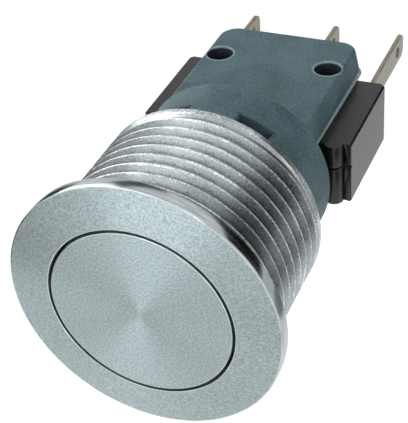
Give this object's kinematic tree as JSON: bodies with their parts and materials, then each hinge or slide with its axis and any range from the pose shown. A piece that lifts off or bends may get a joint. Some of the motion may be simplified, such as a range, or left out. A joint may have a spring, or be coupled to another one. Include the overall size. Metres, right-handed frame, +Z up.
{
  "type": "panel-mounted pushbutton switch",
  "caption": "Round metal pushbutton with a flat flange and threaded barrel for a panel hole, and a snap-action switch with pierced tabs in a moulded carrier behind it.",
  "frame": {"origin": "centre of the flange's back face, where the panel lies, on the button's axis", "axes": "+Y along the button's axis into the panel, +Z up across the switch's thickness, +X along the switch's length"},
  "size_m": [0.022, 0.0426, 0.022],
  "materials": {
    "stainless_steel": "turned and satin",
    "spring_steel": "bright",
    "acetal": "smooth",
    "seal_rubber": "matt",
    "slate_plastic": "fine moulded grain",
    "black_plastic": "satin moulded",
    "tinned_brass": "tinned",
    "contact_brass": "rolled",
    "contact_silver": "bright"
  },
  "bodies": {
    "sleeve": {"housing": "stainless_steel", "carrier": "slate_plastic", "switch_pins": "spring_steel", "switch_base": "black_plastic", "switch_cover": "black_plastic", "common_terminal": "tinned_brass", "normally_open_terminal": "tinned_brass", "normally_closed_terminal": "tinned_brass", "normally_open_contact": "contact_silver", "normally_closed_contact": "contact_silver", "return_spring": "spring_steel", "snap_spring": "spring_steel"},
    "button_group": {"button": "stainless_steel", "pusher": "acetal", "seal_ring": "seal_rubber", "retaining_clip": "spring_steel"},
    "plunger": {"switch_plunger": "acetal"},
    "blade": {"contact_blade": "contact_brass", "moving_contact": "contact_silver"}
  },
  "joints": [
    {"name": "button_press", "type": "slide", "parent": "sleeve", "child": "button_group", "axis": [0, 1, 0], "range_m": [0, 0.001], "stiffness_N_per_m": 900, "springref_m": -0.0018, "deforming": ["return_spring"]},
    {"name": "plunger_press", "type": "slide", "parent": "sleeve", "child": "plunger", "axis": [0, 1, 0], "range_m": [0, 0.001], "deforming": ["snap_spring"]},
    {"name": "blade_rock", "type": "hinge", "parent": "sleeve", "child": "blade", "pos_m": [-0.0065, 0.0228, 0], "axis": [0, 0, 1], "range_deg": [0, 2.25]}
  ],
  "couplings": [
    {"joint": "plunger_press", "follows": "button_press", "ratio": 1},
    {"joint": "blade_rock", "follows": "button_press", "rad_per_m": 39.216}
  ]
}
